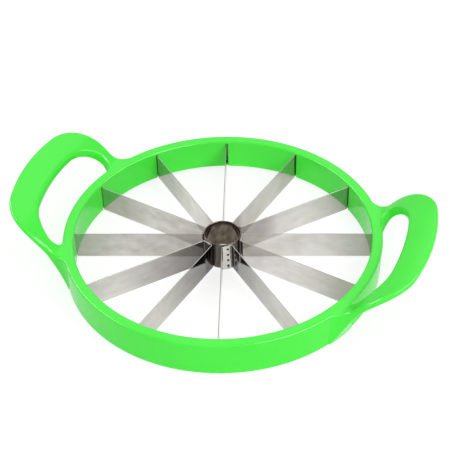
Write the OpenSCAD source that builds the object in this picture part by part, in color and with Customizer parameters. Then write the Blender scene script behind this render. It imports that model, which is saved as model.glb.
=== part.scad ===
// Watermelon slicer: a moulded ring with two loop handles, a core tube and radial blades.
// Z is up, the handles lie along X, and the origin is on the ring's axis at its resting face.

/* [Ring] */
// Outside diameter of the ring at its rim
ring_d = 268; // [230:1:320]
// Radial width of the rim
ring_w = 9; // [8:0.5:12]
// How far the outer wall draws in from the rim to its foot
ring_draft = 0.8; // [0:0.1:1]
// Thickness of the ring's inner and outer walls
ring_wall = 2.2; // [1.6:0.1:2.4]
// Height of the rim above the blades' top edges
rim_drop = 2.8; // [2.4:0.1:4]
// Rounding of the rim's outer and inner edges
rim_r = 1.8; // [0.5:0.1:2.2]
// Rounding of the outer wall's foot
foot_r = 0.8; // [0.3:0.1:1.2]

/* [Handles] */
// Distance from the ring's outside to the tip of a handle
handle_l = 42.6; // [38:0.1:60]
// Width of a handle's loop, across its outside
loop_w = 139; // [128:1:150]
// Width of the grip at the tip
grip_w = 24; // [16:0.5:26]
// Thickness of the grip
grip_t = 6.5; // [6.2:0.1:10]
// Rounding of the handles' long edges
edge_r = 2.7; // [2:0.1:3.1]
// Height of a handle's tip above the ring's rim
handle_rise = 33; // [22:0.5:40]
// Plan radius of the grip's outer edge
tip_edge_r = 178; // [150:1:260]
// Plan radius of the loop's outer corners
loop_corner_r = 35.5; // [28:0.5:38]
// Plan radius of the blend between an arm and the ring
arm_root_r = 28; // [22:0.5:34]
// Angle at which that blend meets the ring's wall
root_crease_angle = 25; // [16:1:32]
// Plan radius of the finger gap's edge along the grip
gap_edge_r = 204; // [170:1:300]
// Plan radius of the finger gap's corners
gap_corner_r = 37; // [32:0.5:38]
// Distance of the gap's corner centres from the handle's middle line
gap_corner_y = 25.5; // [20:0.5:27]
// Plan radius of the blend between the finger gap and the ring
gap_root_r = 6; // [4:0.5:9]
// Slope of a handle's top where it leaves the ring, in degrees
rise_slope = 49; // [44:1:56]
// Slope of a handle's top at its tip, in degrees
tip_slope = 10; // [5:1:13]
// Side-view radius of the blend between the rim and a handle's top
rise_root_r = 16; // [8:1:18]
// How fast an arm thins from the ring's height to the grip's thickness
arm_fade = 5.4; // [3:0.1:6]
// Distance from the ring over which the edges' rounding grows from the rim's to the handle's
edge_run = 12; // [6:1:20]

/* [Blades] */
// Number of blades, which stand in pairs
blade_count = 12; // [6:2:12]
// Height of the blades
blade_h = 25; // [18:0.5:40]
// Thickness of the blade strip
blade_t = 0.6; // [0.4:0.05:0.8]
// Height of the cutting edges, and of the inner wall's foot, above the resting face
edge_lift = 3.3; // [2:0.1:5]
// Height of the ground bevel
bevel_h = 3; // [2:0.5:5]
// Width left at the cutting edge
edge_t = 0.15; // [0.1:0.05:0.3]
// Angle of the first blade from the handles' middle line, in degrees
first_blade_angle = 16.4; // [13:0.1:18]
// Inside radius of the bends at a blade's two ends
bend_r = 0.8; // [0.5:0.1:1]
// Length of the flange in the ring's channel
anchor_l = 5; // [4:0.5:8]

/* [Core tube] */
// Outside diameter of the tube
tube_d = 31.6; // [28:0.1:40]
// How far the tube stands above the blades' top edges
tube_rise = 0.9; // [0:0.1:2]
// Wall of the tube
tube_wall = 0.8; // [0.6:0.1:1.2]
// Free arc between the end of a welded flange and the other blade of its pair, in degrees
weld_gap_angle = 6; // [5:0.5:9]

/* [Retaining ring] */
// Thickness of the retaining ring
retainer_t = 2; // [1.5:0.1:2.2]
// Width of the step in the inner wall that it seats on
retainer_step = 0.8; // [0.5:0.1:1]

/* [Clearances] */
// Clearance round the retaining ring
retainer_gap = 0.15; // [0.1:0.05:0.3]
// Clearance between a blade and its slot and pocket
slot_gap = 0.2; // [0.1:0.05:0.3]
// Free width of a slot on the side of the blade away from its hooked end
slot_side = 1.2; // [1:0.1:2]
// Clearance between the welded flanges, and between them and the tube
weld_gap = 0.05; // [0.02:0.01:0.1]

/* [Hidden] */
$fn = 96;
frame_colour = "#5FEF59";
steel_colour = "#C6C4BD";
retainer_colour = "#55DC50";
// Overlap that keeps cuts clear of the faces they start from
cut = 1;

ring_r = ring_d / 2;
ring_in_r = ring_r - ring_w;
blade_top = edge_lift + blade_h;
ring_h = blade_top + rim_drop;
channel_in_r = ring_in_r + ring_wall;
foot_out_r = ring_r - ring_draft;
channel_out_r = foot_out_r - ring_wall;
channel_top = blade_top + slot_gap;
strip_foot = edge_lift + bevel_h;
retainer_top = edge_lift + retainer_t;

// Side view of a handle: a hollow blend out of the rim, then a crest arc to the tip
reach = ring_r + handle_l;
crest_r = (handle_rise - rise_root_r * (1 - cos(rise_slope))) / (cos(tip_slope) - cos(rise_slope));
slope_x = reach - crest_r * (sin(rise_slope) - sin(tip_slope));
rise_x = slope_x - rise_root_r * sin(rise_slope);
crest_x = reach + crest_r * sin(tip_slope);
crest_z = ring_h + handle_rise - crest_r * cos(tip_slope);
arc_steps = 9;
edge_steps = 3;
bend_steps = 6;
weld_steps = 12;

// Plan of the loop and of its finger gap
loop_corner_y = loop_w / 2 - loop_corner_r;
gap_reach = reach - grip_w;
root_in_r = channel_out_r + ring_wall / 2;

tube_r = tube_d / 2;
tube_top = blade_top + tube_rise;
// Middle radius of the two flanges of a pair: one on the tube, and one lapped over it
under_r = tube_r + weld_gap + blade_t / 2;
over_r = under_r + blade_t + weld_gap;
bend_mid_r = bend_r + blade_t / 2;
weld_end_a = 360 / blade_count - weld_gap_angle;
anchor_x = channel_in_r + slot_gap + blade_t / 2;
anchor_bend_x = anchor_x - bend_mid_r;
web_end_x = ring_in_r - slot_gap;
// How far the hooked end's inside has turned where it leaves the slot
hook_y = bend_mid_r - sqrt(pow(bend_r, 2) - pow(channel_in_r - anchor_bend_x, 2));

function blade_name(i) = str("blade_", i < 10 ? "0" : "", i);

// Points of an arc about c, from angle a to angle b, in n steps, from its point number first
function arc(c, r, a, b, n = arc_steps, first = 0) =
    [for (k = [first : n]) c + r * [cos(a + (b - a) * k / n), sin(a + (b - a) * k / n)]];

// The first angle moved by whole turns to lie within half a turn of the second
function near_turn(a, b) = a - 360 * round((a - b) / 360);

// Half of a loop's plan, from its tip at y = 0 to the ring: edge arc, corner arc and root arc, each
// tangent to the one before. The root arc bulges out of the loop for side = 1 and into it for side = -1,
// and meets the ring's wall at the angle crease_a.
function half_loop(tip_x, edge_r, corner_r, corner_y, root_r, crease_a, side) =
    let (
        edge_c = [tip_x - edge_r, 0],
        corner_c = edge_c + [sqrt(pow(edge_r - corner_r, 2) - pow(corner_y, 2)), corner_y],
        edge_a = atan2(corner_y, corner_c.x - edge_c.x),
        corner_d = norm(corner_c),
        root_d = sqrt(pow(ring_r, 2) + pow(root_r, 2) + 2 * ring_r * root_r * cos(crease_a)),
        join_d = corner_r + side * root_r,
        spread_a = acos((pow(corner_d, 2) + pow(root_d, 2) - pow(join_d, 2)) / (2 * corner_d * root_d)),
        turn_a = atan2(corner_c.y, corner_c.x) + spread_a,
        root_c = root_d * [cos(turn_a), sin(turn_a)],
        side_a = atan2(root_c.y - corner_c.y, root_c.x - corner_c.x),
        root_a = side > 0 ? side_a + 180 : side_a,
        axis_a = near_turn(turn_a + 180, root_a),
        short_a = asin(ring_r * sin(crease_a) / root_d),
        ring_a = axis_a - sign(axis_a - root_a) * short_a
    )
    concat(
        arc(edge_c, edge_r, 0, edge_a),
        arc(corner_c, corner_r, edge_a, side_a, first = 1),
        arc(root_c, root_r, root_a, ring_a, first = 1)
    );

// A half plan joined to its mirror image, from the ring round the tip and back to the ring, with its two
// ends sunk into the ring's outer wall
function whole_loop(half) =
    let (
        n = len(half) - 1,
        sunk = half[n] * root_in_r / ring_r
    )
    concat(
        [[sunk.x, -sunk.y]],
        [for (k = [n : -1 : 1]) [half[k].x, -half[k].y]],
        half,
        [sunk]
    );

// Height of a handle's top at a distance x, and its thickness and its edges' rounding at a point in plan,
// which run from the ring's own at its wall to the grip's
function top_z(x) =
    x <= rise_x ? ring_h :
    x <= slope_x ? ring_h + rise_root_r - sqrt(pow(rise_root_r, 2) - pow(x - rise_x, 2)) :
    crest_z + sqrt(pow(crest_r, 2) - pow(crest_x - x, 2));
function arm_t(p) =
    let (run = min(1, max(0, norm(p) - ring_r) / handle_l))
    grip_t + (ring_h - grip_t) * pow(1 - run, arm_fade);
function arm_edge_r(p) =
    let (run = min(1, max(0, norm(p) - ring_r) / edge_run))
    rim_r + (edge_r - rim_r) * run;

// The ring with its hollow filled: the outer wall reaches down to the resting face,
// and the inner wall to the blades' cutting edges
module ring_section() {
    polygon(concat(
        [[ring_in_r, edge_lift], [channel_out_r, edge_lift], [channel_out_r, 0]],
        arc([foot_out_r - foot_r, foot_r], foot_r, -90, 0, bend_steps),
        arc([ring_r - rim_r, ring_h - rim_r], rim_r, 0, 90, bend_steps),
        arc([ring_in_r + rim_r, ring_h - rim_r], rim_r, 90, 180, bend_steps)
    ));
}

// The hollow inside the ring, with the step for the retaining ring in its inner wall
module channel_section() {
    polygon([
        [channel_in_r - retainer_step, -cut],
        [channel_out_r, -cut],
        [channel_out_r, channel_top],
        [channel_in_r, channel_top],
        [channel_in_r, retainer_top],
        [channel_in_r - retainer_step, retainer_top]
    ]);
}

// Points round a section, each as its distance across, its side (1 above and -1 below) and its height
// from the rounding's centre: four rounded corners, and a middle point on the top and on the underside
function section_offsets(half_w, r) =
    [for (q = [0 : 3])
        let (
            side = q == 0 || q == 3 ? 1 : -1,
            up = q < 2 ? 1 : -1
        )
        each concat(
            [for (k = [0 : edge_steps])
                let (a = 90 * (q + k / edge_steps))
                [side * (half_w - r) + r * cos(a), up, r * sin(a)]],
            q % 2 == 0 ? [[0, up, up * r]] : []
        )];

// One section of a handle between a point of the gap's edge and a point of the loop's outer edge
function handle_section(inner, outer) =
    let (
        half_w = norm(outer - inner) / 2,
        across = (outer - inner) / (2 * half_w),
        mid = (inner + outer) / 2,
        r = arm_edge_r(outer)
    )
    [for (o = section_offsets(half_w, r))
        let (
            p = mid + across * o[0],
            half_t = arm_t(p) / 2
        )
        [p.x, p.y, top_z(p.x) - half_t + o[1] * (half_t - r) + o[2]]];

// A handle as one closed skin over its sections, from one root round the tip to the other
module handle() {
    outer = whole_loop(half_loop(
        reach, tip_edge_r, loop_corner_r, loop_corner_y, arm_root_r, root_crease_angle, 1));
    inner = whole_loop(half_loop(
        gap_reach, gap_edge_r, gap_corner_r, gap_corner_y, gap_root_r, 0, -1));
    last = len(outer) - 1;
    m = 4 * (edge_steps + 1) + 2;
    points = [for (k = [0 : last]) each handle_section(inner[k], outer[k])];
    skin = [for (k = [0 : last - 1], j = [0 : m - 1])
        let (i = (j + 1) % m)
        each [
            [k * m + j, k * m + i, (k + 1) * m + j],
            [k * m + i, (k + 1) * m + i, (k + 1) * m + j]
        ]];
    caps = [[for (j = [m - 1 : -1 : 0]) j], [for (j = [0 : m - 1]) last * m + j]];
    polyhedron(points = points, faces = concat(skin, caps));
}

// Cut in the ring's inner wall that a blade slides up into from below
module blade_slot(i) {
    rotate([0, 0, blade_angle(i)])
        translate([ring_in_r - cut, -slot_side - blade_t / 2, -cut])
            cube([ring_wall + 2 * cut, slot_side + blade_t / 2 + hook_y + slot_gap, channel_top + cut]);
}

module frame() {
    color(frame_colour) difference() {
        union() {
            rotate_extrude() ring_section();
            for (turn = [0, 180]) rotate([0, 0, turn]) handle();
        }
        rotate_extrude() channel_section();
        for (i = [1 : blade_count]) blade_slot(i);
    }
}

module retaining_ring() {
    inside = channel_in_r - retainer_step + retainer_gap;
    color(retainer_colour) rotate_extrude()
        translate([inside, edge_lift])
            square([channel_out_r - retainer_gap - inside, retainer_t - retainer_gap]);
}

module core_tube() {
    color(steel_colour) rotate_extrude() polygon([
        [tube_r - tube_wall, edge_lift],
        [tube_r - tube_wall + edge_t, edge_lift],
        [tube_r, strip_foot],
        [tube_r, tube_top],
        [tube_r - tube_wall, tube_top]
    ]);
}

function blade_angle(i) = first_blade_angle + (i - 1) * 360 / blade_count;

// The even blades' flanges turn to the next blade and lap over its own, which turns back to meet them
function flange_side(i) = i % 2 == 0 ? 1 : -1;
function flange_r(i) = i % 2 == 0 ? over_r : under_r;

// Where the bend out of a flange of middle radius r ends on the web, and where it starts on the flange
function weld_bend_x(r) = sqrt(pow(r + bend_mid_r, 2) - pow(bend_mid_r, 2));
function weld_start_a(r) = asin(bend_mid_r / (r + bend_mid_r));

// One face of the strip in plan, s to the left of its middle line: the welded flange of middle radius r,
// its bend, the straight web, the outer bend and the flange that hooks behind the ring's inner wall.
// The welded flange turns to the left for side = 1 and to the right for side = -1.
function strip_face(s, r, side) = concat(
    arc([0, 0], r + side * s, side * weld_end_a, side * weld_start_a(r), weld_steps),
    arc([weld_bend_x(r), side * bend_mid_r], bend_mid_r - side * s,
        side * (180 + weld_start_a(r)), side * 270, bend_steps, 1),
    arc([anchor_bend_x, bend_mid_r], bend_mid_r - s, 270, 360, bend_steps),
    [[anchor_x - s, anchor_l]]
);

// The bent strip at its full height
module blade_strip(r, side) {
    back = strip_face(-blade_t / 2, r, side);
    translate([0, 0, edge_lift]) linear_extrude(height = blade_h)
        polygon(concat(strip_face(blade_t / 2, r, side), [for (k = [len(back) - 1 : -1 : 0]) back[k]]));
}

// What is ground away on both sides of the straight web's foot
module bevel_cut(web_start_x) {
    for (face = [-1, 1])
        translate([web_start_x, 0, 0]) rotate([90, 0, 90])
            linear_extrude(height = web_end_x - web_start_x) polygon([
                [face * edge_t / 2, edge_lift - cut],
                [face * edge_t / 2, edge_lift],
                [face * blade_t / 2, strip_foot],
                [face * (blade_t / 2 + cut), strip_foot],
                [face * (blade_t / 2 + cut), edge_lift - cut]
            ]);
}

// What is notched out of the hooked end's foot to clear the retaining ring
module anchor_notch() {
    translate([web_end_x, -blade_t, edge_lift - cut])
        cube([anchor_x + blade_t - web_end_x, blade_t + anchor_l + cut, bevel_h + cut]);
}

module blade(i) {
    color(steel_colour) rotate([0, 0, blade_angle(i)]) difference() {
        blade_strip(flange_r(i), flange_side(i));
        bevel_cut(weld_bend_x(flange_r(i)));
        anchor_notch();
    }
}

frame();
retaining_ring();
core_tube();
for (i = [1 : blade_count]) blade(i);
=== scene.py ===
"""Watermelon slicer: a moulded green ring with two loop handles, radial steel blades and a core tube.

Sizes of the pieces are in millimetres and angles in degrees. Finishes and the stage are in metres.
"""

import logging
import math
from dataclasses import dataclass, field
from enum import Enum

import bmesh
import bpy
import numpy as np
from mathutils import Matrix, Vector


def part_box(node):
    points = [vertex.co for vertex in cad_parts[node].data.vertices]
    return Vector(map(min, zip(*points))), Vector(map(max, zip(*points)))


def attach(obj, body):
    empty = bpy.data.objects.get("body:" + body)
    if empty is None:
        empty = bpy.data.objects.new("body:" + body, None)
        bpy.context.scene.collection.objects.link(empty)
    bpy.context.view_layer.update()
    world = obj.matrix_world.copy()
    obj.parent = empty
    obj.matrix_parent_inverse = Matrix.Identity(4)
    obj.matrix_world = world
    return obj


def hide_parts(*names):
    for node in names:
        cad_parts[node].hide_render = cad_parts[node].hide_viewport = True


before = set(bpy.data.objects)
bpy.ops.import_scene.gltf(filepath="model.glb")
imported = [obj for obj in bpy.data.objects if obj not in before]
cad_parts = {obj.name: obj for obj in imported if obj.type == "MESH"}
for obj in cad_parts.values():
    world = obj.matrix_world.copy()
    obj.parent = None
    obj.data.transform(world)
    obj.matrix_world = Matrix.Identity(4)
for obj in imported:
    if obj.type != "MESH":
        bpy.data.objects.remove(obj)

LOG = logging.getLogger("slicer")
MM = 0.001
BODY = "root"
FRAME_WIDTH_PX = 450
STRIP_MAP = "strip"
# Distances from the axis in metres between which a blade is nothing but its straight web.
WEB_RANGE = (0.04, 0.126)
Point = tuple[float, float]
Pair = tuple[float, float]
Colour = tuple[float, float, float]
Scale = tuple[float, float, float]
Piece = bpy.types.Object
Socket = bpy.types.NodeSocket


class Side(Enum):
    """Which handle a loop is, by its turn about the ring's axis in degrees."""

    RIGHT = 0
    LEFT = 180


class Bulge(Enum):
    """Which way the blend at a loop's root bulges: out of the loop or into it."""

    OUT = 1
    IN = -1


class Flange(Enum):
    """How a welded flange lies in its lapped pair, and which way it turns: 1 to the left of the way out."""

    OVER = 1
    UNDER = -1


class Join(Enum):
    """How a tool changes the piece that it meets."""

    ADD = "UNION"
    CUT = "DIFFERENCE"


class Mixed(Enum):
    """What a mix node mixes: its data type and the type of its sockets."""

    COLOURS = ("RGBA", "RGBA")
    VALUES = ("FLOAT", "VALUE")


class Mark(Enum):
    """What a steel piece stores on its points for its finish, by the attribute's name."""

    # Weld dents, and painted dark shade that stands for dark reflections near the tube.
    WELD = "weld"
    # A blade's sheared top edge; on the tube, a painted dark band of shade under the lip.
    EDGE = "edge"
    # Painted shade: a dimmer tone for blades and outer ends whose reflections are darker.
    DULL = "dull"
    STAIN = "stain"


class LampUse(Enum):
    """What a lamp adds: light, or only the bright lines along rounded edges."""

    LIGHT = True
    HIGHLIGHT = False


def clamp(value: float) -> float:
    """Holds a value between 0 and 1."""
    return min(1.0, max(0.0, value))


def ease(share: float) -> float:
    """Eases a share from 0 to 1 in and out."""
    return share * share * (3 - 2 * share)


def grey(level: float) -> tuple[float, float, float, float]:
    """A plain grey as a colour socket takes it."""
    return (level, level, level, 1.0)


def mesh_object(name: str, points: np.ndarray, faces: list[list[int]]) -> Piece:
    """Makes an object from points in millimetres.

    Args:
        name: Name of the object and its mesh.
        points: Array of x, y, z rows in millimetres.
        faces: Point numbers of each face.

    Returns:
        The new object, linked to the scene, with smooth faces.
    """
    mesh = bpy.data.meshes.new(name)
    mesh.from_pydata((np.asarray(points, float) * MM).tolist(), [], faces)
    mesh.validate()
    mesh.polygons.foreach_set("use_smooth", np.ones(len(mesh.polygons), bool))
    piece = bpy.data.objects.new(name, mesh)
    bpy.context.scene.collection.objects.link(piece)
    return piece


def arc(centre: Point, radius: float, start: float, end: float, steps: int) -> np.ndarray:
    """Points of an arc.

    Args:
        centre: Centre of the arc.
        radius: Its radius.
        start: First angle in degrees.
        end: Last angle in degrees.
        steps: Number of steps between them.

    Returns:
        Array of steps + 1 points.
    """
    angles = np.radians(np.linspace(start, end, steps + 1))
    return np.array(centre) + radius * np.stack([np.cos(angles), np.sin(angles)], axis=1)


def line(start: Point, end: Point, steps: int) -> np.ndarray:
    """Points along a straight line, with both ends."""
    share = np.linspace(0.0, 1.0, steps + 1)[:, None]
    return np.array(start) * (1 - share) + np.array(end) * share


def lathe(name: str, section: np.ndarray, steps: int) -> Piece:
    """Turns a closed section of radius and height once round the axis.

    Args:
        name: Name of the new object.
        section: Array of radius, height rows in millimetres, counter-clockwise.
        steps: Number of steps round the axis.

    Returns:
        The closed ring.
    """
    turns = np.linspace(0.0, 2 * math.pi, steps, endpoint=False)
    count = len(section)
    rows = [np.stack([section[:, 0] * math.cos(a), section[:, 0] * math.sin(a), section[:, 1]], axis=1)
            for a in turns]
    faces = [[k * count + j, ((k + 1) % steps) * count + j,
              ((k + 1) % steps) * count + (j + 1) % count, k * count + (j + 1) % count]
             for k in range(steps) for j in range(count)]
    return mesh_object(name, np.concatenate(rows), faces)


def skin(name: str, sections: list[np.ndarray]) -> Piece:
    """Closes a skin over a row of sections with equal point counts.

    Args:
        name: Name of the new object.
        sections: Arrays of x, y, z rows in millimetres, from one end to the other.

    Returns:
        The closed object, capped at both ends.
    """
    count, last = len(sections[0]), len(sections) - 1
    faces = [[k * count + j, (k + 1) * count + j,
              (k + 1) * count + (j + 1) % count, k * count + (j + 1) % count]
             for k in range(last) for j in range(count)]
    faces.append(list(range(count)))
    faces.append([last * count + j for j in range(count - 1, -1, -1)])
    return mesh_object(name, np.concatenate(sections), faces)


def combine(base: Piece, tool: Piece, join: Join) -> None:
    """Joins a tool into a base by a boolean operation and deletes the tool.

    Args:
        base: Object that is changed.
        tool: Object that is added or cut away.
        join: Which of these it is.
    """
    modifier = base.modifiers.new("combine", "BOOLEAN")
    modifier.object = tool
    modifier.operation = join.value
    modifier.solver = "MANIFOLD"
    result = bpy.data.meshes.new_from_object(base.evaluated_get(bpy.context.evaluated_depsgraph_get()))
    base.modifiers.clear()
    base.data = result
    bpy.data.objects.remove(tool)


def collapse_slivers(piece: Piece, width: float) -> None:
    """Collapses the slivers that joins leave in a mesh.

    Args:
        piece: Object that is changed.
        width: Width in millimetres up to which a face counts as a sliver.
    """
    mesh = bmesh.new()
    mesh.from_mesh(piece.data)
    bmesh.ops.dissolve_degenerate(mesh, dist=width * MM, edges=mesh.edges[:])
    mesh.to_mesh(piece.data)
    mesh.free()


def sharpen(piece: Piece, crease: float) -> None:
    """Shades a piece smooth, apart from its creases.

    Args:
        piece: Object that is changed.
        crease: Angle in degrees from which an edge counts as a crease.
    """
    mesh = piece.data
    mesh.polygons.foreach_set("use_smooth", np.ones(len(mesh.polygons), bool))
    mesh.set_sharp_from_angle(angle=math.radians(crease))
    weighted = piece.modifiers.new("weighted", "WEIGHTED_NORMAL")
    weighted.keep_sharp = True


def plate_faces(columns: int, count: int) -> list[list[int]]:
    """Faces of a closed plate whose points are two grids, first its left face and then its right one.

    Args:
        columns: Number of columns in each grid.
        count: Number of points in each column.

    Returns:
        Point numbers of each face.
    """
    faces = []
    back = columns * count
    for k in range(columns - 1):
        for j in range(count - 1):
            a, b, c, d = k * count + j, (k + 1) * count + j, (k + 1) * count + j + 1, k * count + j + 1
            faces.append([a, d, c, b])
            faces.append([back + a, back + b, back + c, back + d])
        low, high = k * count, k * count + count - 1
        faces.append([low, low + count, back + low + count, back + low])
        faces.append([high, back + high, back + high + count, high + count])
    for j in range(count - 1):
        end = (columns - 1) * count + j
        faces.append([j, back + j, back + j + 1, j + 1])
        faces.append([end, end + 1, back + end + 1, back + end])
    return faces


def mark_steel(piece: Piece, marks: dict[Mark, list[float] | np.ndarray], places: np.ndarray) -> None:
    """Stores on a steel piece what its finish reads.

    Args:
        piece: Strip or tube.
        marks: Values of its points, by mark.
        places: Length along the steel and height of each point in metres, for the finish's map.
    """
    mesh = piece.data
    for mark, values in marks.items():
        stored = mesh.attributes.new(mark.value, "FLOAT", "POINT")
        stored.data.foreach_set("value", np.array(values, np.float32))
    layer = mesh.uv_layers.new(name=STRIP_MAP)
    corners = np.zeros(len(mesh.loops), np.int32)
    mesh.loops.foreach_get("vertex_index", corners)
    layer.data.foreach_set("uv", places[corners].astype(np.float32).ravel())


class ShaderGraph:
    """The nodes of one material or world, with short calls to add and link them."""

    def __init__(self, owner: bpy.types.ID) -> None:
        """Starts with no nodes.

        Args:
            owner: The new material or world.
        """
        self.owner = owner
        self.owner.use_nodes = True
        self.tree = owner.node_tree
        self.tree.nodes.clear()

    def node(self, kind: str, inputs: dict | None = None, **options: object) -> bpy.types.Node:
        """Adds a node.

        Args:
            kind: Its type, without the ShaderNode prefix.
            inputs: Values for its input sockets, or sockets to link to them.
            options: Values for its own settings.

        Returns:
            The new node.
        """
        made = self.tree.nodes.new("ShaderNode" + kind)
        for option, value in options.items():
            setattr(made, option, value)
        for socket, value in (inputs or {}).items():
            if isinstance(value, Socket):
                self.tree.links.new(value, made.inputs[socket])
            else:
                made.inputs[socket].default_value = value
        return made

    def noise(self, where: Socket, scale: Scale, detail: float = 2.0) -> Socket:
        """Adds a noise pattern.

        Args:
            where: Coordinates in metres.
            scale: Scale along each axis, per metre.
            detail: Number of finer layers.

        Returns:
            The pattern's value socket.
        """
        placed = self.node("Mapping", {"Vector": where, "Scale": scale})
        pattern = self.node("TexNoise", {"Vector": placed.outputs["Vector"], "Scale": 1.0, "Detail": detail})
        return pattern.outputs["Fac"]

    def between(self, value: Socket, low: float, high: float,
                start: float = 0.3, end: float = 0.7) -> Socket:
        """Maps a pattern's middle range to a range of values.

        Args:
            value: Pattern socket.
            low: Value at start and below.
            high: Value at end and above.
            start: Pattern value that gives low.
            end: Pattern value that gives high.

        Returns:
            The mapped socket.
        """
        mapped = self.node("MapRange", {"Value": value, "From Min": start, "From Max": end,
                                        "To Min": low, "To Max": high})
        return mapped.outputs["Result"]

    def blend(self, share: Socket, first: object, second: object,
              kind: Mixed = Mixed.COLOURS) -> Socket:
        """Mixes two colours or two values, each of them plain or a socket.

        Args:
            share: Share of the second, from 0 to 1.
            first: What shows at 0.
            second: What shows at 1.
            kind: What is mixed.

        Returns:
            The mixed socket.
        """
        data_type, socket_type = kind.value
        mixed = self.node("Mix", {"Factor": share}, data_type=data_type)
        for name, value in (("A", first), ("B", second)):
            target = next(s for s in mixed.inputs if s.name == name and s.type == socket_type)
            if isinstance(value, Socket):
                self.tree.links.new(value, target)
            else:
                target.default_value = (*value, 1.0) if kind is Mixed.COLOURS else value
        return next(s for s in mixed.outputs if s.type == socket_type)

    def product(self, first: Socket, second: Socket) -> Socket:
        """Multiplies two values."""
        return self.node("Math", {0: first, 1: second}, operation="MULTIPLY").outputs[0]

    def larger(self, first: Socket, second: Socket) -> Socket:
        """Takes the larger of two values."""
        return self.node("Math", {0: first, 1: second}, operation="MAXIMUM").outputs[0]

    def mark(self, mark: Mark) -> Socket:
        """Reads a mark from the points of the mesh."""
        return self.node("Attribute", attribute_name=mark.value).outputs["Fac"]

    def bump(self, height: Socket, depth: float, strength: float) -> Socket:
        """Adds a bump of a height pattern, to a depth in metres."""
        made = self.node("Bump", {"Height": height, "Distance": depth, "Strength": strength})
        return made.outputs["Normal"]

    def output(self, surface: Socket) -> bpy.types.ID:
        """Links a surface to the output.

        Args:
            surface: The shader's socket.

        Returns:
            The finished material or world.
        """
        kind = "OutputWorld" if isinstance(self.owner, bpy.types.World) else "OutputMaterial"
        self.node(kind, {"Surface": surface})
        return self.owner


@dataclass(frozen=True)
class MouldedPlastic:
    """Glossy moulded plastic with a faint flow pattern and fine handling marks."""

    name: str
    colour: Colour
    flow_colour: Colour
    roughness: Pair = (0.13, 0.24)
    ior: float = 1.46
    flow_scale: Scale = (22.0, 22.0, 40.0)
    mark_scale: Scale = (900.0, 130.0, 500.0)
    mark_detail: float = 4.0
    peel_scale: Scale = (650.0, 650.0, 650.0)
    peel_depth: float = 0.00004
    peel_strength: float = 0.12

    def material(self) -> bpy.types.Material:
        """Builds the material.

        Returns:
            Material with colour, roughness and bump from object coordinates.
        """
        graph = ShaderGraph(bpy.data.materials.new(self.name))
        where = graph.node("TexCoord").outputs["Object"]
        flow = graph.between(graph.noise(where, self.flow_scale), 0.0, 1.0)
        marks = graph.between(graph.noise(where, self.mark_scale, self.mark_detail), *self.roughness)
        peel = graph.bump(graph.noise(where, self.peel_scale), self.peel_depth, self.peel_strength)
        shader = graph.node("BsdfPrincipled", {
            "Base Color": graph.blend(flow, self.colour, self.flow_colour),
            "Roughness": marks,
            "Normal": peel,
            "IOR": self.ior,
        })
        return graph.output(shader.outputs["BSDF"])


@dataclass(frozen=True)
class RolledSteel:
    """Rolled stainless strip with rolling streaks, water marks and dark weld marks, and with painted shade:
    dark tints near the tube, a dimmer tone where reflections are darker, and the tube's dark band.
    """

    name: str
    clean: Colour = (0.76, 0.735, 0.71)
    stained: Colour = (0.55, 0.52, 0.484)
    # The dim tone is painted shade, for darker reflections.
    painted_dimming: Colour = (0.33, 0.322, 0.268)
    # The edge tone is a blade's sheared top edge, and on the tube a painted dark band of shade.
    sheared_edge_and_shade: Colour = (0.3, 0.29, 0.275)
    # The darkest tones colour the weld dots, and also paint dark shade near the tube for its dark
    # reflections.
    burnt_and_shade: Colour = (0.016, 0.014, 0.012)
    soot_and_shade: Colour = (0.012, 0.011, 0.01)
    roughness: Pair = (0.05, 0.1)
    sheared_roughness: float = 0.5
    metallic: Pair = (1.0, 0.85)
    metallic_range: Pair = (0.5, 1.0)
    painted_dim_most: float = 0.6
    streak_scale: Scale = (25.0, 2600.0, 1.0)
    streak_detail: float = 3.0
    streak_depth: float = 0.00002
    streak_strength: float = 0.06
    stain_scale: Scale = (70.0, 130.0, 1.0)
    stain_detail: float = 8.0
    stain_range: Pair = (0.38, 0.68)
    blotch_scale: Scale = (140.0, 110.0, 1.0)
    blotch_detail: float = 4.0
    blotch_range: Pair = (0.4, 0.65)

    def material(self) -> bpy.types.Material:
        """Builds the material.

        Returns:
            Metal whose patterns run along the strip, by its map of length and height.
        """
        graph = ShaderGraph(bpy.data.materials.new(self.name))
        where = graph.node("UVMap", uv_map=STRIP_MAP).outputs["UV"]
        streaks = graph.noise(where, self.streak_scale, self.streak_detail)
        spots = graph.noise(where, self.stain_scale, self.stain_detail)
        stains = graph.product(graph.between(spots, 0.0, 1.0, *self.stain_range), graph.mark(Mark.STAIN))
        blotches = graph.noise(where, self.blotch_scale, self.blotch_detail)
        # This dark tint paints the weld dots and also the painted shade near the tube.
        weld_and_shade_tone = graph.blend(graph.between(blotches, 0.0, 1.0, *self.blotch_range), self.burnt_and_shade, self.soot_and_shade)
        dull, edge = graph.mark(Mark.DULL), graph.mark(Mark.EDGE)
        # Painted shade: the dim mark blends towards the dim tone and lowers the metallic a little.
        surface = graph.blend(graph.between(dull, 0.0, self.painted_dim_most, 0.0, 1.0),
                              graph.blend(stains, self.clean, self.stained), self.painted_dimming)
        marked = graph.blend(graph.mark(Mark.WELD), surface, weld_and_shade_tone)
        polish = graph.between(streaks, *self.roughness)
        shader = graph.node("BsdfPrincipled", {
            # On a blade the edge tone is its sheared top edge; on the tube it paints a dark band of shade.
            "Base Color": graph.blend(edge, marked, self.sheared_edge_and_shade),
            "Metallic": graph.between(dull, *self.metallic, *self.metallic_range),
            "Roughness": graph.blend(edge, polish, self.sheared_roughness, Mixed.VALUES),
            "Normal": graph.bump(streaks, self.streak_depth, self.streak_strength),
        })
        return graph.output(shader.outputs["BSDF"])


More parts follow.
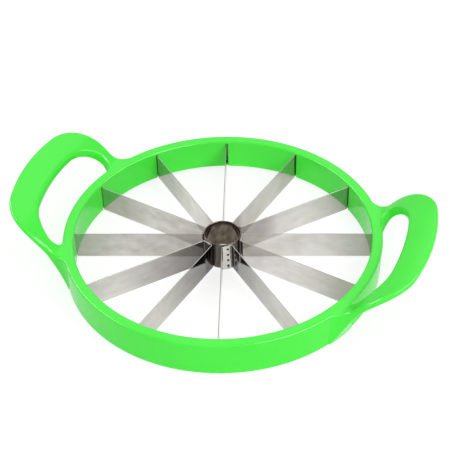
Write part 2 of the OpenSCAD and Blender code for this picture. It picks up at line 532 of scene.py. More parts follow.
GREEN = MouldedPlastic("green_plastic", (0.052, 0.86, 0.039), (0.058, 0.88, 0.044))
RETAINER_GREEN = MouldedPlastic("retainer_plastic", (0.06, 0.72, 0.055), (0.07, 0.76, 0.06), (0.25, 0.4))
BLADE_STEEL = RolledSteel("blade_steel")
# The tube's steel is painted dark, as painted shade for the hub among the blades; its edge tone paints the
# band under the lip.
TUBE_STEEL = RolledSteel("tube_steel", clean=(0.17, 0.158, 0.135), stained=(0.075, 0.068, 0.056),
                         sheared_edge_and_shade=(0.035, 0.03, 0.025), burnt_and_shade=(0.23, 0.178, 0.14), soot_and_shade=(0.08, 0.058, 0.045),
                         stain_scale=(150.0, 30.0, 1.0))


@dataclass
class Handle:
    """One loop handle, as a skin over rounded sections between its gap and its outside.

    In plan, the gap and the outside are loops of arcs that touch. In side view, the top leaves the rim in a
    hollow blend and ends in a crest. The arm thins from the ring's height to the grip's by the power
    arm_fade of the way that is left. At the ring it stays inside the rim and the foot by bury, its outside
    runs on into the drafted wall by run_in, and its top leaves the rim over the length root_run.
    """

    ring_r: float
    ring_h: float
    reach: float
    root_in_r: float
    rim_r: float
    rise: float = 33.0
    loop_w: float = 139.0
    grip_w: float = 24.0
    grip_t: float = 6.5
    edge_r: float = 2.7
    edge_run: float = 12.0
    tip_edge_r: float = 178.0
    loop_corner_r: float = 35.5
    arm_root_r: float = 28.0
    root_crease_angle: float = 25.0
    gap_edge_r: float = 204.0
    gap_corner_r: float = 37.0
    gap_corner_y: float = 25.5
    gap_root_r: float = 6.0
    rise_slope: float = 49.0
    tip_slope: float = 10.0
    rise_root_r: float = 16.0
    arm_fade: float = 5.4
    bury: float = 0.03
    run_in: float = 2.6
    root_run: float = 8.0
    arc_steps: int = 36
    edge_steps: int = 10
    span_steps: int = 36
    crest_r: float = field(init=False)
    slope_x: float = field(init=False)
    rise_x: float = field(init=False)

    def __post_init__(self) -> None:
        """Works out the side view: a hollow blend out of the rim, then a crest arc to the tip."""
        steep, shallow = math.radians(self.rise_slope), math.radians(self.tip_slope)
        climb = self.rise - self.rise_root_r * (1 - math.cos(steep))
        self.crest_r = climb / (math.cos(shallow) - math.cos(steep))
        self.slope_x = self.reach - self.crest_r * (math.sin(steep) - math.sin(shallow))
        self.rise_x = self.slope_x - self.rise_root_r * math.sin(steep)

    def half_loop(self, tip_x: float, edge_r: float, corner_r: float, corner_y: float,
                  root_r: float, crease: float, bulge: Bulge) -> np.ndarray:
        """Half of a loop's plan from its tip to the ring: edge, corner and root arcs that touch.

        Args:
            tip_x: Distance of the tip from the axis.
            edge_r: Radius of the edge along the grip.
            corner_r: Radius of the corner.
            corner_y: Distance of the corner's centre from the middle line.
            root_r: Radius of the blend into the ring.
            crease: Angle in degrees at which that blend meets the ring's wall.
            bulge: Which way that blend bulges.

        Returns:
            Array of x, y points.
        """
        side, bend = bulge.value, math.radians(crease)
        edge_c = np.array([tip_x - edge_r, 0.0])
        corner_c = edge_c + np.array([math.sqrt((edge_r - corner_r) ** 2 - corner_y ** 2), corner_y])
        edge_angle = math.degrees(math.atan2(corner_y, corner_c[0] - edge_c[0]))
        corner_d = np.linalg.norm(corner_c)
        root_d = math.sqrt(self.ring_r ** 2 + root_r ** 2 + 2 * self.ring_r * root_r * math.cos(bend))
        reach = corner_r + side * root_r
        spread = math.acos((corner_d ** 2 + root_d ** 2 - reach ** 2) / (2 * corner_d * root_d))
        turn = math.atan2(corner_c[1], corner_c[0]) + spread
        root_c = root_d * np.array([math.cos(turn), math.sin(turn)])
        side_angle = math.degrees(math.atan2(root_c[1] - corner_c[1], root_c[0] - corner_c[0]))
        root_angle = side_angle + 180 if bulge is Bulge.OUT else side_angle
        ring_angle = math.degrees(turn) + 180
        ring_angle -= 360 * round((ring_angle - root_angle) / 360)
        short = math.degrees(math.asin(self.ring_r * math.sin(bend) / root_d))
        ring_angle -= math.copysign(short, ring_angle - root_angle)
        return np.concatenate([
            arc(edge_c, edge_r, 0.0, edge_angle, self.arc_steps),
            arc(corner_c, corner_r, edge_angle, side_angle, self.arc_steps)[1:],
            arc(root_c, root_r, root_angle, ring_angle, self.arc_steps)[1:],
        ])

    def whole_loop(self, half: np.ndarray, bulge: Bulge) -> np.ndarray:
        """Joins a half plan to its mirror image, with its ends sunk into the ring's outer wall.

        Args:
            half: Points from the tip to the ring.
            bulge: Which way its blend bulges; one that bulges out runs straight on into the drafted wall.

        Returns:
            Points from the ring round the tip and back to the ring.
        """
        end = half[-1]
        root = end * self.root_in_r / self.ring_r
        ahead = (end - half[-2]) / np.linalg.norm(end - half[-2])
        sunk = end + ahead * self.run_in if bulge is Bulge.OUT else (end + root) / 2
        full = np.concatenate([half, [sunk, root]])
        return np.concatenate([full[:0:-1] * [1.0, -1.0], full])

    def lift(self, x: float) -> float:
        """Height of the handle's top above the rim in side view.

        Args:
            x: Distance from the axis.

        Returns:
            Height in millimetres.
        """
        if x <= self.rise_x:
            return 0.0
        if x <= self.slope_x:
            return self.rise_root_r - math.sqrt(self.rise_root_r ** 2 - (x - self.rise_x) ** 2)
        shallow = math.radians(self.tip_slope)
        crest_x = self.reach + self.crest_r * math.sin(shallow)
        crest_z = self.rise - self.crest_r * math.cos(shallow)
        return crest_z + math.sqrt(self.crest_r ** 2 - (crest_x - x) ** 2)

    def top_z(self, point: np.ndarray) -> float:
        """Height of the handle's top at a point in plan, down to the rim where it enters the ring's wall."""
        share = clamp((np.linalg.norm(point) - self.root_in_r) / self.root_run)
        return self.ring_h - self.bury + self.lift(point[0]) * ease(share)

    def thickness(self, point: np.ndarray) -> float:
        """Thickness of the handle, from the ring's height at its wall to the grip's."""
        run = clamp((np.linalg.norm(point) - self.ring_r) / (self.reach - self.ring_r))
        return self.grip_t + (self.ring_h - 2 * self.bury - self.grip_t) * (1 - run) ** self.arm_fade

    def edge(self, point: np.ndarray) -> float:
        """Rounding of the long edges, which grows from the rim's to the grip's along the arm."""
        share = clamp((np.linalg.norm(point) - self.ring_r) / self.edge_run)
        return self.rim_r + (self.edge_r - self.rim_r) * share

    def section(self, inner: np.ndarray, outer: np.ndarray) -> np.ndarray:
        """One rounded section between the gap's edge and the loop's outside.

        Args:
            inner: Point of the gap's edge in plan.
            outer: Point of the loop's outside in plan.

        Returns:
            Array of x, y, z points round the section.
        """
        half_w = np.linalg.norm(outer - inner) / 2
        across = (outer - inner) / (2 * half_w)
        middle = (inner + outer) / 2
        edge = self.edge(outer)
        flat = half_w - edge
        offsets: list[tuple[float, float, float]] = []
        for quarter, (side, up) in enumerate(((1, 1), (-1, 1), (-1, -1), (1, -1))):
            angles = np.radians(90 * (quarter + np.linspace(0.0, 1.0, self.edge_steps + 1)))
            offsets += [(side * flat + edge * math.cos(a), up, edge * math.sin(a)) for a in angles]
            if quarter in (0, 2):
                shares = np.linspace(1.0, -1.0, self.span_steps + 1)[1:-1]
                offsets += [(side * flat * share, up, up * edge) for share in shares]
        points = []
        for offset, up, height in offsets:
            place = middle + across * offset
            half_t = self.thickness(place) / 2
            points.append((*place, self.top_z(place) - half_t + up * (half_t - edge) + height))
        return np.array(points)

    def build(self, side: Side) -> Piece:
        """Builds the handle on one side of the ring.

        Args:
            side: Which handle it is.

        Returns:
            The closed handle, with its roots inside the ring's wall.
        """
        outer = self.whole_loop(self.half_loop(
            self.reach, self.tip_edge_r, self.loop_corner_r, self.loop_w / 2 - self.loop_corner_r,
            self.arm_root_r, self.root_crease_angle, Bulge.OUT), Bulge.OUT)
        inner = self.whole_loop(self.half_loop(
            self.reach - self.grip_w, self.gap_edge_r, self.gap_corner_r, self.gap_corner_y,
            self.gap_root_r, 0.0, Bulge.IN), Bulge.IN)
        made = skin("handle_" + side.name.lower(), [self.section(a, b) for a, b in zip(inner, outer)])
        made.data.transform(Matrix.Rotation(math.radians(side.value), 4, "Z"))
        return made


@dataclass(frozen=True)
class StripStock:
    """The blades' strip: its thickness, its bends and the room that a slot leaves for it."""

    thickness: float = 0.6
    bend_r: float = 0.8
    slot_gap: float = 0.2
    slot_side: float = 1.2

    @property
    def bend_mid_r(self) -> float:
        """Radius of a bend along the middle of the strip."""
        return self.bend_r + self.thickness / 2

    @property
    def slot_low(self) -> float:
        """Reach of a slot from the blade's middle, away from its hooked end."""
        return self.slot_side + self.thickness / 2

    @property
    def slot_high(self) -> float:
        """Reach of a slot from the blade's middle towards its hooked end, whose bend starts in the slot."""
        straight = math.sqrt(self.bend_r ** 2 - (self.bend_r - self.slot_gap) ** 2)
        return self.bend_mid_r - straight + self.slot_gap


@dataclass(frozen=True)
class GroundFoot:
    """The ground cutting edge at the foot of the blades and the tube."""

    edge_t: float = 0.15
    bevel_h: float = 3.0


@dataclass
class FrameMoulding:
    """The green moulding: the hollow ring, its blade slots and its two handles."""

    ring_r: float
    reach: float
    edge_lift: float
    blade_top: float
    blade_angles: list[float]
    ring_w: float = 9.0
    ring_draft: float = 0.8
    ring_wall: float = 2.2
    rim_drop: float = 2.8
    rim_r: float = 1.8
    foot_r: float = 0.8
    retainer_t: float = 2.0
    retainer_step: float = 0.8
    lip_r: float = 0.4
    strip: StripStock = StripStock()
    sliver: float = 0.01
    crease: float = 23.5
    round_steps: int = 360
    edge_steps: int = 6
    wall_steps: int = 8
    piece: Piece = field(init=False)

    @property
    def ring_h(self) -> float:
        """Height of the rim above the resting face."""
        return self.blade_top + self.rim_drop

    @property
    def in_r(self) -> float:
        """Radius of the ring's inside."""
        return self.ring_r - self.ring_w

    @property
    def channel_out_r(self) -> float:
        """Radius of the channel's outer wall."""
        return self.ring_r - self.ring_draft - self.ring_wall

    def ring_section(self) -> np.ndarray:
        """Section of the hollow ring.

        Returns:
            Closed outline of radius and height.
        """
        channel_in_r = self.in_r + self.ring_wall
        step_r = channel_in_r - self.retainer_step
        channel_top = self.blade_top + self.strip.slot_gap
        retainer_top = self.edge_lift + self.retainer_t
        foot_r = self.ring_r - self.ring_draft
        lip, rim = self.lip_r, self.rim_r
        return np.concatenate([
            line((channel_in_r, channel_top), (channel_in_r, retainer_top), self.wall_steps),
            [(step_r, retainer_top), (step_r, self.edge_lift)],
            arc((self.in_r + lip, self.edge_lift + lip), lip, 270, 180, self.edge_steps),
            line((self.in_r, self.edge_lift + lip), (self.in_r, self.ring_h - rim), self.wall_steps)[1:-1],
            arc((self.in_r + rim, self.ring_h - rim), rim, 180, 90, self.edge_steps),
            arc((self.ring_r - rim, self.ring_h - rim), rim, 90, 0, self.edge_steps),
            line((self.ring_r, self.ring_h - rim), (foot_r, self.foot_r), self.wall_steps)[1:-1],
            arc((foot_r - self.foot_r, self.foot_r), self.foot_r, 0, -90, self.edge_steps),
            line((self.channel_out_r, 0.0), (self.channel_out_r, channel_top), self.wall_steps),
        ])[::-1]

    def slot(self, angle: float) -> Piece:
        """Cutter for one blade's slot in the inner wall, from below up to the channel's top.

        Args:
            angle: Direction of the blade in degrees.

        Returns:
            A box that reaches through the wall.
        """
        past = self.ring_wall / 2
        low = (self.in_r - past, -self.strip.slot_low, -past)
        high = (self.in_r + self.ring_wall + past, self.strip.slot_high, self.blade_top + self.strip.slot_gap)
        corners = np.array([(x, y, z) for x in (low[0], high[0]) for y in (low[1], high[1])
                            for z in (low[2], high[2])])
        faces = [[0, 1, 3, 2], [4, 6, 7, 5], [0, 4, 5, 1], [2, 3, 7, 6], [0, 2, 6, 4], [1, 5, 7, 3]]
        cutter = mesh_object("slot", corners, faces)
        cutter.data.transform(Matrix.Rotation(math.radians(angle), 4, "Z"))
        return cutter

    def build(self) -> Piece:
        """Builds the moulding in one piece.

        Returns:
            The frame, which stands for the CAD node.
        """
        self.piece = lathe("frame_moulding", self.ring_section(), self.round_steps)
        root_in_r = self.channel_out_r + self.ring_wall / 2
        handle = Handle(self.ring_r, self.ring_h, self.reach, root_in_r, self.rim_r)
        for side in Side:
            combine(self.piece, handle.build(side), Join.ADD)
        for angle in self.blade_angles:
            combine(self.piece, self.slot(angle), Join.CUT)
        collapse_slivers(self.piece, self.sliver)
        sharpen(self.piece, self.crease)
        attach(self.piece, BODY)
        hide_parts("frame")
        return self.piece

    def dress(self) -> None:
        """Gives the moulding its plastic."""
        self.piece.data.materials.clear()
        self.piece.data.materials.append(GREEN.material())


@dataclass(frozen=True)
class BladeMarksAndShade:
    """The painted dark shade and dimming on one blade, and its water marks.

    Attributes:
        web: Painted dark shade at the root of the web, for the dark reflections near the tube.
        run: Distance in millimetres over which it keeps its strength, and over which it then fades.
        painted_hub_shade: Fainter painted shade that thins out along the web, for the darker reflection
            towards the tube.
        flange: Painted dark shade on the welded flange, for its dark reflection.
        painted_dim_all_over: Painted dimming all over, for a blade whose reflections are darker.
        painted_dim_r: Distance from the axis from which the outer end is painted dimmer, for its darker
            reflection near the green wall.
        stain: Strength of the water marks.
        sides: Faces of the web with the painted shade, 1 to the left of the way out and -1 to the right.
    """

    web: float = 0.05
    run: float = 12.0
    painted_hub_shade: float = 0.0
    flange: float = 0.0
    painted_dim_all_over: float = 0.0
    painted_dim_r: float = 80.0
    stain: float = 0.4
    sides: tuple[int, ...] = (1, -1)


# Painted shade by blade number: dark tints near the tube and dimming stand for darker reflections; the stain
# is water marks.
BLADE_MARKS_AND_SHADE = {
    1: BladeMarksAndShade(web=0.12, run=10.0),
    2: BladeMarksAndShade(web=0.42, run=18.0),
    3: BladeMarksAndShade(web=0.3, run=8.0, painted_dim_all_over=0.6, painted_dim_r=62.0),
    5: BladeMarksAndShade(web=0.2, run=6.0, painted_dim_r=54.0),
    6: BladeMarksAndShade(web=0.15, painted_dim_all_over=0.2, painted_dim_r=60.0, stain=0.75),
    7: BladeMarksAndShade(web=0.0, painted_hub_shade=0.2, painted_dim_all_over=0.18, painted_dim_r=76.0, stain=0.75, sides=(1,)),
    8: BladeMarksAndShade(web=0.0, painted_hub_shade=0.72, flange=0.8, painted_dim_all_over=0.1, painted_dim_r=104.0, sides=(1,)),
    9: BladeMarksAndShade(web=0.8, run=8.0, painted_hub_shade=0.68, flange=0.8, painted_dim_all_over=0.42, painted_dim_r=104.0, sides=(1,)),
    10: BladeMarksAndShade(web=1.0, run=17.0),
    11: BladeMarksAndShade(web=0.8, run=8.0, painted_hub_shade=0.5, flange=0.6, painted_dim_all_over=0.42, painted_dim_r=98.0, sides=(-1,)),
    12: BladeMarksAndShade(painted_dim_r=72.0),
}


@dataclass
class Blade:
    """One bent steel strip: a flange welded to the tube, a straight web and a hooked outer end."""

    number: int
    angle: float
    flange: Flange
    tube_r: float
    ring_in_r: float
    wall_in_r: float
    foot_z: float
    top_z: float
    strip: StripStock = StripStock()
    ground: GroundFoot = GroundFoot()
    nick: float = 0.12
    anchor_l: float = 5.0
    weld_gap: float = 0.05
    weld_end: float = 24.0
    weld_angle: float = 17.0
    weld_rows: tuple[float, ...] = (0.15, 0.39, 0.63, 0.87)
    weld_r: float = 1.5
    weld_depth: float = 0.18
    weld_slope: float = 2.2
    marks: BladeMarksAndShade = BladeMarksAndShade()
    painted_hub_shade_run: float = 78.0
    painted_dim_run: float = 42.0
    wave_depth: float = 0.05
    wave_length: float = 38.0
    wave_shift: float = 1.7
    map_step: float = 200.0
    crease: float = 40.0
    fine_step: float = 0.4
    web_step: float = 4.0
    row_step: float = 0.5
    bend_steps: int = 8
    slot_steps: int = 2
    anchor_steps: int = 4
    piece: Piece = field(init=False)

    @property
    def flange_r(self) -> float:
        """Radius of the welded flange's middle: on the tube, or lapped over the other blade's flange."""
        laps = 1 if self.flange is Flange.OVER else 0
        thickness = self.strip.thickness
        return self.tube_r + self.weld_gap + thickness / 2 + laps * (thickness + self.weld_gap)

    @property
    def web_start(self) -> float:
        """Distance from the axis at which the straight web starts."""
        bend = self.strip.bend_mid_r
        return math.sqrt((self.flange_r + bend) ** 2 - bend ** 2)

    @property
    def web_end(self) -> float:
        """Distance from the axis at which the web enters its slot and its foot is notched."""
        return self.ring_in_r - self.strip.slot_gap

    def path(self) -> tuple[np.ndarray, np.ndarray, np.ndarray]:
        """The strip's middle line in plan, before it is turned to its place.

        Returns:
            Points, unit normals to the left of the way out, and lengths from the welded end.
        """
        side = self.flange.value
        bend = self.strip.bend_mid_r
        flange_r = self.flange_r
        start = math.degrees(math.asin(bend / (flange_r + bend)))
        anchor_x = self.wall_in_r + self.strip.slot_gap + self.strip.thickness / 2
        flange_steps = round(math.radians(self.weld_end - start) * flange_r / self.fine_step)
        web_steps = round((self.web_end - self.web_start) / self.web_step)
        points = np.concatenate([
            arc((0.0, 0.0), flange_r, side * self.weld_end, side * start, flange_steps),
            arc((self.web_start, side * bend), bend, side * (180 + start), side * 270, self.bend_steps)[1:],
            line((self.web_start, 0.0), (self.web_end, 0.0), web_steps)[1:],
            line((self.web_end + self.nick, 0.0), (anchor_x - bend, 0.0), self.slot_steps),
            arc((anchor_x - bend, bend), bend, 270, 360, self.bend_steps)[1:],
            line((anchor_x, bend), (anchor_x, self.anchor_l), self.anchor_steps)[1:],
        ])
        ahead = np.gradient(points, axis=0)
        ahead /= np.linalg.norm(ahead, axis=1)[:, None]
        normals = np.stack([-ahead[:, 1], ahead[:, 0]], axis=1)
        steps = np.linalg.norm(np.diff(points, axis=0), axis=1)
        return points, normals, np.concatenate([[0.0], np.cumsum(steps)])

    def half_thickness(self, distance: float, z: float) -> float:
        """Half the strip's thickness at a distance from the axis and a height.

        Args:
            distance: Distance from the axis; only the straight web is ground.
            z: Height.

        Returns:
            Half the thickness, with the ground foot and the eased top edge.
        """
        thickness, ground = self.strip.thickness, self.ground
        if z < self.foot_z + ground.bevel_h and distance >= self.web_start:
            share = (z - self.foot_z) / ground.bevel_h
            return (ground.edge_t + (thickness - ground.edge_t) * share) / 2
        return thickness / 2 - max(0.0, z - (self.top_z - self.nick))

    def rows(self, distance: float) -> np.ndarray:
        """Heights of a column of points, from its foot to the top.

        Args:
            distance: The column's distance from the axis; the foot is notched inside the slot.

        Returns:
            Array of heights.
        """
        count = round((self.top_z - self.foot_z - self.ground.bevel_h) / self.row_step)
        notched = distance > self.web_end
        low = self.foot_z + self.ground.bevel_h
        web = np.linspace(low + (self.row_step if notched else 0.0), self.top_z - 2 * self.nick, count)
        return np.concatenate([[low if notched else self.foot_z], web, [self.top_z - self.nick, self.top_z]])

    def wave(self, length: float, share: float) -> float:
        """Slight wave of the strip, which dies out at both ends.

        Args:
            length: Distance from the welded end.
            share: Share of the strip's columns up to there.

        Returns:
            Distance to the left of the way out.
        """
        swing = math.sin(2 * math.pi * length / self.wave_length + self.wave_shift * self.number)
        return self.wave_depth * swing * math.sin(math.pi * share) ** 2

    def weld_mark(self, length: float, z: float, face: int) -> float:
        """Depth share of the spot-weld marks at a place on the strip.

        Args:
            length: Distance from the welded end.
            z: Height.
            face: Face of the strip; only the outside of a flange that lies over another is marked.

        Returns:
            From 0, clear of the marks, to 1, at the middle of one.
        """
        if self.flange is Flange.UNDER or face < 0:
            return 0.0
        along = math.radians(self.weld_end - self.weld_angle) * self.flange_r
        rise = self.top_z - self.foot_z
        nearest = min(math.hypot(length - along, z - self.foot_z - share * rise) for share in self.weld_rows)
        return clamp(self.weld_slope * (1.0 - nearest / self.weld_r))

    def painted_shade_mark(self, distance: float, face: int) -> float:
        """Share of the painted dark shade at a place on the strip, which stands for dark reflections near the
        tube.

        Args:
            distance: Distance from the axis; on the web the painted shade fades out from the welded end.
            face: Face of the strip, 1 to the left of the way out and -1 to the right.

        Returns:
            From 0, clean, to 1, fully dark.
        """
        run = distance - self.web_start
        if run < 0:
            return self.marks.flange
        if face not in self.marks.sides:
            return 0.0
        near = self.marks.web * clamp(2.0 - run / self.marks.run)
        return max(near, self.marks.painted_hub_shade * clamp(1.0 - run / self.painted_hub_shade_run))

    def build(self) -> Piece:
        """Builds the strip at its place.

        Returns:
            The blade, which stands for its CAD node.
        """
        points, normals, lengths = self.path()
        distances = np.hypot(points[:, 0], points[:, 1])
        heights = [self.rows(distance) for distance in distances]
        columns = len(points)
        grid: list[tuple[float, float, float]] = []
        places: list[Point] = []
        marks: dict[Mark, list[float]] = {mark: [] for mark in Mark}
        for face in (1, -1):
            for k in range(columns):
                wave = self.wave(lengths[k], k / (columns - 1))
                # The outer end is painted dimmer, as painted shade for its darker reflection near the green
                # wall.
                painted_dimming = clamp((distances[k] - self.marks.painted_dim_r) / self.painted_dim_run)
                for z in heights[k]:
                    dent = self.weld_mark(lengths[k], z, face)
                    out = face * self.half_thickness(distances[k], z) + wave - self.weld_depth * dent
                    grid.append((*(points[k] + normals[k] * out), z))
                    places.append((lengths[k] + self.map_step * self.number, z))
                    # The weld mark holds the weld dents and the painted dark shade near the tube.
                    marks[Mark.WELD].append(max(dent, self.painted_shade_mark(distances[k], face)))
                    marks[Mark.EDGE].append(float(z >= self.top_z - self.nick))
                    # The dim mark is painted shade.
                    marks[Mark.DULL].append(max(self.marks.painted_dim_all_over, painted_dimming))
                    marks[Mark.STAIN].append(self.marks.stain)
        faces = plate_faces(columns, len(heights[0]))
        self.piece = mesh_object(f"blade_{self.number:02d}_strip", np.array(grid), faces)
        mark_steel(self.piece, marks, np.array(places) * MM)
        self.piece.data.transform(Matrix.Rotation(math.radians(self.angle), 4, "Z"))
        sharpen(self.piece, self.crease)
        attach(self.piece, BODY)
        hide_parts(f"blade_{self.number:02d}")
        return self.piece

    def dress(self, material: bpy.types.Material) -> None:
        """Gives the strip its steel."""
        self.piece.data.materials.append(material)


@dataclass
class CoreTube:
    """The rolled tube in the middle, with eased lips, a foot ground from outside and a painted dark band of
    shade inside, under the lip.
    """

    tube_r: float
    foot_z: float
    top_z: float
    wall: float = 0.8
    ground: GroundFoot = GroundFoot()
    lip_r: float = 0.25
    lip_slack: float = 0.25
    shade_band: float = 4.5
    inside_heat: float = 0.9
    crease: float = 40.0
    round_steps: int = 128
    wall_steps: int = 16
    lip_steps: int = 3
    piece: Piece = field(init=False)

    def build(self) -> Piece:
        """Builds the tube.

        Returns:
            The tube, which stands for the CAD node.
        """
        lip, in_r = self.lip_r, self.tube_r - self.wall
        lip_z = self.top_z - lip
        section = np.concatenate([
            [(in_r + self.ground.edge_t, self.foot_z)],
            line((self.tube_r, self.foot_z + self.ground.bevel_h), (self.tube_r, lip_z), self.wall_steps),
            arc((self.tube_r - lip, lip_z), lip, 0, 90, self.lip_steps)[1:],
            arc((in_r + lip, lip_z), lip, 90, 180, self.lip_steps),
            line((in_r, lip_z), (in_r, self.foot_z), self.wall_steps)[1:],
        ])
        self.piece = lathe("core_tube_rolled", section, self.round_steps)
        points = np.array([v.co for v in self.piece.data.vertices])
        inside = np.hypot(points[:, 0], points[:, 1]) < (self.tube_r - self.wall / 2) * MM
        depth = lip_z - points[:, 2] / MM
        shaded_below_lip = inside & (depth > -lip * self.lip_slack)
        marks = {
            Mark.WELD: np.where(inside, self.inside_heat, 0.0),
            # Painted shade: a dark band inside the tube, just under the lip, fading out downwards.
            Mark.EDGE: np.where(shaded_below_lip, np.clip(1.0 - depth / self.shade_band, 0.0, 1.0), 0.0),
            Mark.STAIN: np.ones(len(points)),
        }
        around = np.abs(np.arctan2(points[:, 1], points[:, 0])) * self.tube_r * MM
        mark_steel(self.piece, marks, np.stack([around, points[:, 2]], axis=1))
        sharpen(self.piece, self.crease)
        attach(self.piece, BODY)
        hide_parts("core_tube")
        return self.piece

    def dress(self) -> None:
        """Gives the tube its steel."""
        self.piece.data.materials.append(TUBE_STEEL.material())


@dataclass
class Retainer:
    """The ring that closes the frame's channel from below."""

    piece: Piece

    def dress(self) -> None:
        """Gives the ring its plastic."""
        self.piece.data.materials.clear()
        self.piece.data.materials.append(RETAINER_GREEN.material())


@dataclass(frozen=True)
class Lamp:
    """A soft rectangular lamp that faces the object.

    Attributes:
        name: Name of the lamp.
        azimuth: Direction from the camera's azimuth in degrees.
        elevation: Height above the horizon in degrees.
        size: Width and height in metres.
        power: Power in watts.
        use: What the lamp adds.
    """

    name: str
    azimuth: float
    elevation: float
    size: Pair
    power: float
    use: LampUse = LampUse.LIGHT


LAMPS = (
    Lamp("back", 180.0, 48.0, (1.7, 0.8), 3.0),
    Lamp("key", 40.0, 40.0, (0.8, 0.6), 8.5),
    Lamp("front", -15.0, 52.0, (0.8, 0.8), 2.2),
    Lamp("left", -75.0, 40.0, (0.2, 0.6), 2.0),
    Lamp("left_edge", -108.0, 39.0, (1.2, 0.5), 16.0, LampUse.HIGHLIGHT),
    Lamp("right_edge", 60.0, 41.0, (1.9, 0.5), 30.0, LampUse.HIGHLIGHT),
)


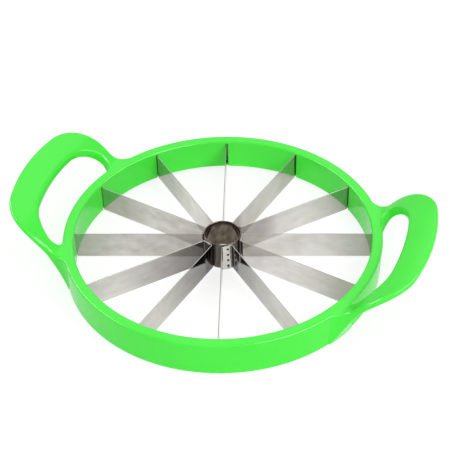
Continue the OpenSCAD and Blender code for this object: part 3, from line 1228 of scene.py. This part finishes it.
@dataclass
class Studio:
    """Camera, pale floor, white surround and soft lamps.

    Attributes:
        target: Point that the camera and the lamps face, in metres.
        azimuth: Camera's direction round the object in degrees.
        elevation: Camera's height above the horizon in degrees.
        distance: Camera's distance from the target in metres.
        roll: Camera's turn about its own axis in degrees.
        lens: Focal length in millimetres.
        sensor: Width of the camera's sensor in millimetres.
        target_px: Place of the target in the picture, in pixels right of and below its middle.
        floor_half: Half the floor's width in metres.
        floor_colour: Grey level of the floor for the light that it gives back.
        camera_floor: Glow and grey level of the floor where it is seen.
        gloss_floor: Glow and grey level of the floor in reflections.
        surround: Strength of the surround's light.
        lamp_distance: Distance of the lamps from the target in metres.
    """

    target: Vector
    azimuth: float = 19.22
    elevation: float = 40.85
    distance: float = 1.0614
    roll: float = -1.896
    lens: float = 101.1
    sensor: float = 36.0
    target_px: Point = (-2.54, 8.70)
    floor_half: float = 4.0
    floor_colour: float = 0.85
    camera_floor: Pair = (0.8, 0.25)
    gloss_floor: Pair = (0.6, 0.34)
    surround: float = 0.72
    lamp_distance: float = 1.5

    def around(self, azimuth: float, elevation: float) -> Vector:
        """Direction from the object, by its azimuth from the camera's and its elevation in degrees."""
        turn, lift = math.radians(self.azimuth + azimuth), math.radians(elevation)
        return Vector((math.sin(turn) * math.cos(lift), -math.cos(turn) * math.cos(lift), math.sin(lift)))

    def camera(self) -> None:
        """Sets the camera at the photograph's angle and framing."""
        data = bpy.data.cameras.new("camera")
        data.lens = self.lens
        data.sensor_width = self.sensor
        data.shift_x = -self.target_px[0] / FRAME_WIDTH_PX
        data.shift_y = self.target_px[1] / FRAME_WIDTH_PX
        camera = bpy.data.objects.new("camera", data)
        bpy.context.scene.collection.objects.link(camera)
        back = self.around(0.0, self.elevation)
        look = (-back).to_track_quat("-Z", "Y").to_matrix().to_4x4()
        spin = Matrix.Rotation(math.radians(self.roll), 4, "Z")
        camera.matrix_world = Matrix.Translation(self.target + back * self.distance) @ look @ spin
        bpy.context.scene.camera = camera

    def floor(self) -> None:
        """Makes the pale floor, which looks white and keeps a faint shadow."""
        half = self.floor_half / MM
        corners = np.array([(-half, -half, 0.0), (half, -half, 0.0), (half, half, 0.0), (-half, half, 0.0)])
        floor = mesh_object("floor", corners, [[0, 1, 2, 3]])
        graph = ShaderGraph(bpy.data.materials.new("floor_white"))
        path = graph.node("LightPath")
        mirrored = graph.larger(path.outputs["Is Glossy Ray"], path.outputs["Is Transmission Ray"])
        seen = path.outputs["Is Camera Ray"]
        shown = graph.node("BsdfDiffuse", {"Color": grey(self.floor_colour)}).outputs[0]
        for ray, (glow, level) in ((mirrored, self.gloss_floor), (seen, self.camera_floor)):
            glowing = graph.node("Emission", {"Strength": glow})
            shaded = graph.node("BsdfDiffuse", {"Color": grey(level)})
            lit = graph.node("AddShader", {0: glowing.outputs[0], 1: shaded.outputs[0]})
            shown = graph.node("MixShader", {0: ray, 1: shown, 2: lit.outputs[0]}).outputs[0]
        floor.data.materials.append(graph.output(shown))

    def world(self) -> None:
        """Sets the surround: white where it is seen, and a plain level of light."""
        graph = ShaderGraph(bpy.data.worlds.new("surround"))
        path = graph.node("LightPath")
        seen = path.outputs["Is Camera Ray"]
        for ray in ("Is Glossy Ray", "Is Transmission Ray"):
            seen = graph.larger(seen, path.outputs[ray])
        shade = graph.node("Background", {"Strength": graph.between(seen, self.surround, 1.0, 0.0, 1.0)})
        bpy.context.scene.world = graph.output(shade.outputs[0])

    def hang(self, lamp: Lamp) -> None:
        """Hangs a lamp at its place.

        Args:
            lamp: Which lamp.
        """
        data = bpy.data.lights.new(lamp.name, "AREA")
        data.shape = "RECTANGLE"
        data.size, data.size_y = lamp.size
        data.energy = lamp.power
        hung = bpy.data.objects.new(lamp.name, data)
        bpy.context.scene.collection.objects.link(hung)
        back = self.around(lamp.azimuth, lamp.elevation)
        turn = (-back).to_track_quat("-Z", "Y").to_matrix().to_4x4()
        hung.matrix_world = Matrix.Translation(self.target + back * self.lamp_distance) @ turn
        hung.visible_diffuse = lamp.use.value

    def build(self) -> None:
        """Builds the whole stage."""
        self.camera()
        self.floor()
        self.world()
        for lamp in LAMPS:
            self.hang(lamp)
        bpy.context.scene.view_settings.view_transform = "Standard"


def node_angle(name: str) -> float:
    """Direction of a blade's web, from the middle of its points.

    Args:
        name: The blade's CAD node.

    Returns:
        Angle about the ring's axis in degrees.
    """
    points = np.array([v.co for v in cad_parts[name].data.vertices])
    radius = np.hypot(points[:, 0], points[:, 1])
    middle = points[(radius > WEB_RANGE[0]) & (radius < WEB_RANGE[1])].mean(axis=0)
    return math.degrees(math.atan2(middle[1], middle[0]))


def main() -> None:
    """Builds the slicer's pieces in order, dresses them and sets the stage."""
    logging.basicConfig(level=logging.INFO, format="%(name)s: %(message)s")
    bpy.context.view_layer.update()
    frame_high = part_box("frame")[1] / MM
    tube_low, tube_high = (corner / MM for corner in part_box("core_tube"))
    blade_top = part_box("blade_01")[1].z / MM
    names = sorted(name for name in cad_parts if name.startswith("blade_"))
    angles = [node_angle(name) for name in names]

    moulding = FrameMoulding(frame_high.y, frame_high.x, tube_low.z, blade_top, angles)
    LOG.info("built %s", moulding.build().name)
    moulding.dress()
    tube = CoreTube(tube_high.x, tube_low.z, tube_high.z)
    LOG.info("built %s", tube.build().name)
    tube.dress()
    steel = BLADE_STEEL.material()
    for number, angle in enumerate(angles, start=1):
        flange = Flange.OVER if number % 2 == 0 else Flange.UNDER
        blade = Blade(number, angle, flange, tube_high.x, moulding.in_r, moulding.in_r + moulding.ring_wall,
                      tube_low.z, blade_top, marks=BLADE_MARKS_AND_SHADE.get(number, BladeMarksAndShade()))
        LOG.info("built %s", blade.build().name)
        blade.dress(steel)
    Retainer(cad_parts["retaining_ring"]).dress()
    LOG.info("dressed retaining_ring")

    Studio(Vector((0.0, 0.0, blade_top * MM))).build()


if __name__ == "__main__":
    main()
